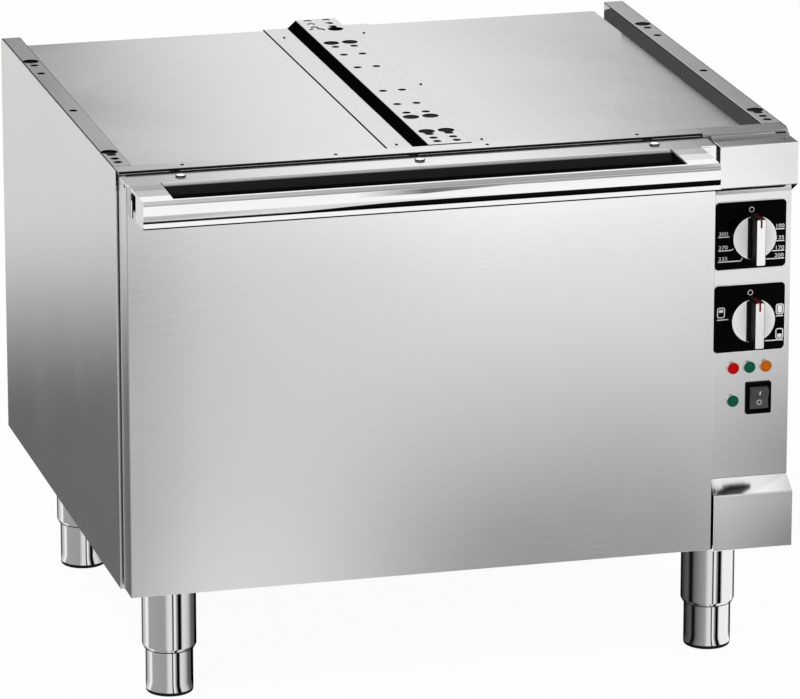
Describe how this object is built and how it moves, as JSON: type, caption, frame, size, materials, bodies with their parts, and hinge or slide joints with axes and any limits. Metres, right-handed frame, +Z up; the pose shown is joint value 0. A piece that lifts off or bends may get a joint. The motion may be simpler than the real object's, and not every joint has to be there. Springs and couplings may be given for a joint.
{
  "type": "convection oven",
  "caption": "Stainless convection oven base on adjustable legs, with a drop-down door, a folded full-width handle, dial controls and top rails that carry half-width cooking units.",
  "frame": {"origin": "on the floor, under the middle of the overall box", "axes": "+X to the right of someone facing the door, +Y to the back, +Z up"},
  "size_m": [0.8, 0.835, 0.6498],
  "materials": {
    "casing_steel": "satin",
    "door_steel": "satin",
    "oven_steel": "satin",
    "element_steel": "matte",
    "chrome_wire": "gloss",
    "chrome_trim": "polished",
    "leg_chrome": "gloss",
    "hinge_steel": "satin",
    "mineral_wool": "matte",
    "motor_paint": "satin",
    "copper_tube": "satin",
    "switch_plastic": "matte",
    "black_plastic": "satin",
    "rocker_plastic": "satin",
    "dial_black": "satin",
    "knob_silver": "satin",
    "lens_red": "gloss",
    "lens_green": "gloss",
    "lens_orange": "gloss",
    "gasket_rubber": "matte"
  },
  "bodies": {
    "chassis": {"side_panel_left": "casing_steel", "side_panel_right": "casing_steel", "top_rail_left": "casing_steel", "top_rail_right": "casing_steel", "centre_rail": "casing_steel", "top_deck": "casing_steel", "front_top_strip": "casing_steel", "base_pan": "casing_steel", "back_cover": "casing_steel", "control_panel": "casing_steel", "corner_cover": "casing_steel", "lower_trim": "casing_steel", "control_partition": "casing_steel", "front_frame": "casing_steel", "strip_screws": "casing_steel", "deck_rivets": "casing_steel", "cavity_liner": "oven_steel", "rack_guide_left": "oven_steel", "rack_guide_right": "oven_steel", "fan_baffle": "oven_steel", "floor_plate": "oven_steel", "oven_rack": "chrome_wire", "top_element": "element_steel", "bottom_element": "element_steel", "cavity_insulation": "mineral_wool", "fan_motor": "motor_paint", "thermostat_probe": "copper_tube", "thermostat_body": "switch_plastic", "selector_body": "switch_plastic", "terminal_block": "switch_plastic", "cable_gland": "switch_plastic", "rocker_frame": "black_plastic", "thermostat_plate": "dial_black", "selector_plate": "dial_black", "lamp_red": "lens_red", "lamps_green": "lens_green", "lamp_orange": "lens_orange", "lamp_bezels": "chrome_trim", "hinge_bracket_left": "hinge_steel", "hinge_bracket_right": "hinge_steel", "leg_front_left": "leg_chrome", "leg_front_right": "leg_chrome", "leg_rear_left": "leg_chrome", "leg_rear_right": "leg_chrome"},
    "door": {"door_skin": "door_steel", "door_inner_panel": "door_steel", "door_insulation": "mineral_wool", "door_gasket": "gasket_rubber", "door_handle": "door_steel", "handle_screws": "chrome_trim", "hinge_arm_left": "hinge_steel", "hinge_arm_right": "hinge_steel"},
    "thermostat_knob_body": {"thermostat_knob": "knob_silver"},
    "selector_knob_body": {"selector_knob": "knob_silver"},
    "rocker_button_body": {"rocker_button": "rocker_plastic"},
    "fan_wheel_body": {"fan_wheel": "oven_steel"},
    "foot_front_left_body": {"foot_front_left": "leg_chrome"},
    "foot_front_right_body": {"foot_front_right": "leg_chrome"},
    "foot_rear_left_body": {"foot_rear_left": "leg_chrome"},
    "foot_rear_right_body": {"foot_rear_right": "leg_chrome"}
  },
  "joints": [
    {"name": "door_hinge", "type": "hinge", "parent": "chassis", "child": "door", "pos_m": [-0.049, -0.3155, 0.164], "axis": [1, 0, 0], "range_deg": [0, 90], "stiffness_Nm_per_rad": 10, "springref_deg": -17.19},
    {"name": "thermostat_turn", "type": "hinge", "parent": "chassis", "child": "thermostat_knob_body", "pos_m": [0.3512, -0.3145, 0.5275], "axis": [0, 1, 0], "range_deg": [0, 285]},
    {"name": "selector_turn", "type": "hinge", "parent": "chassis", "child": "selector_knob_body", "pos_m": [0.3512, -0.3145, 0.427], "axis": [0, 1, 0], "range_deg": [0, 270]},
    {"name": "rocker_tip", "type": "hinge", "parent": "chassis", "child": "rocker_button_body", "pos_m": [0.3631, -0.3125, 0.3285], "axis": [-1, 0, 0], "range_deg": [0, 16]},
    {"name": "fan_spin", "type": "hinge", "parent": "chassis", "child": "fan_wheel_body", "pos_m": [-0.049, 0.2065, 0.395], "axis": [0, 1, 0], "continuous": true},
    {"name": "foot_front_left_travel", "type": "slide", "parent": "chassis", "child": "foot_front_left_body", "axis": [0, 0, -1], "range_m": [0, 0.05]},
    {"name": "foot_front_right_travel", "type": "slide", "parent": "chassis", "child": "foot_front_right_body", "axis": [0, 0, -1], "range_m": [0, 0.05]},
    {"name": "foot_rear_left_travel", "type": "slide", "parent": "chassis", "child": "foot_rear_left_body", "axis": [0, 0, -1], "range_m": [0, 0.05]},
    {"name": "foot_rear_right_travel", "type": "slide", "parent": "chassis", "child": "foot_rear_right_body", "axis": [0, 0, -1], "range_m": [0, 0.05]}
  ]
}
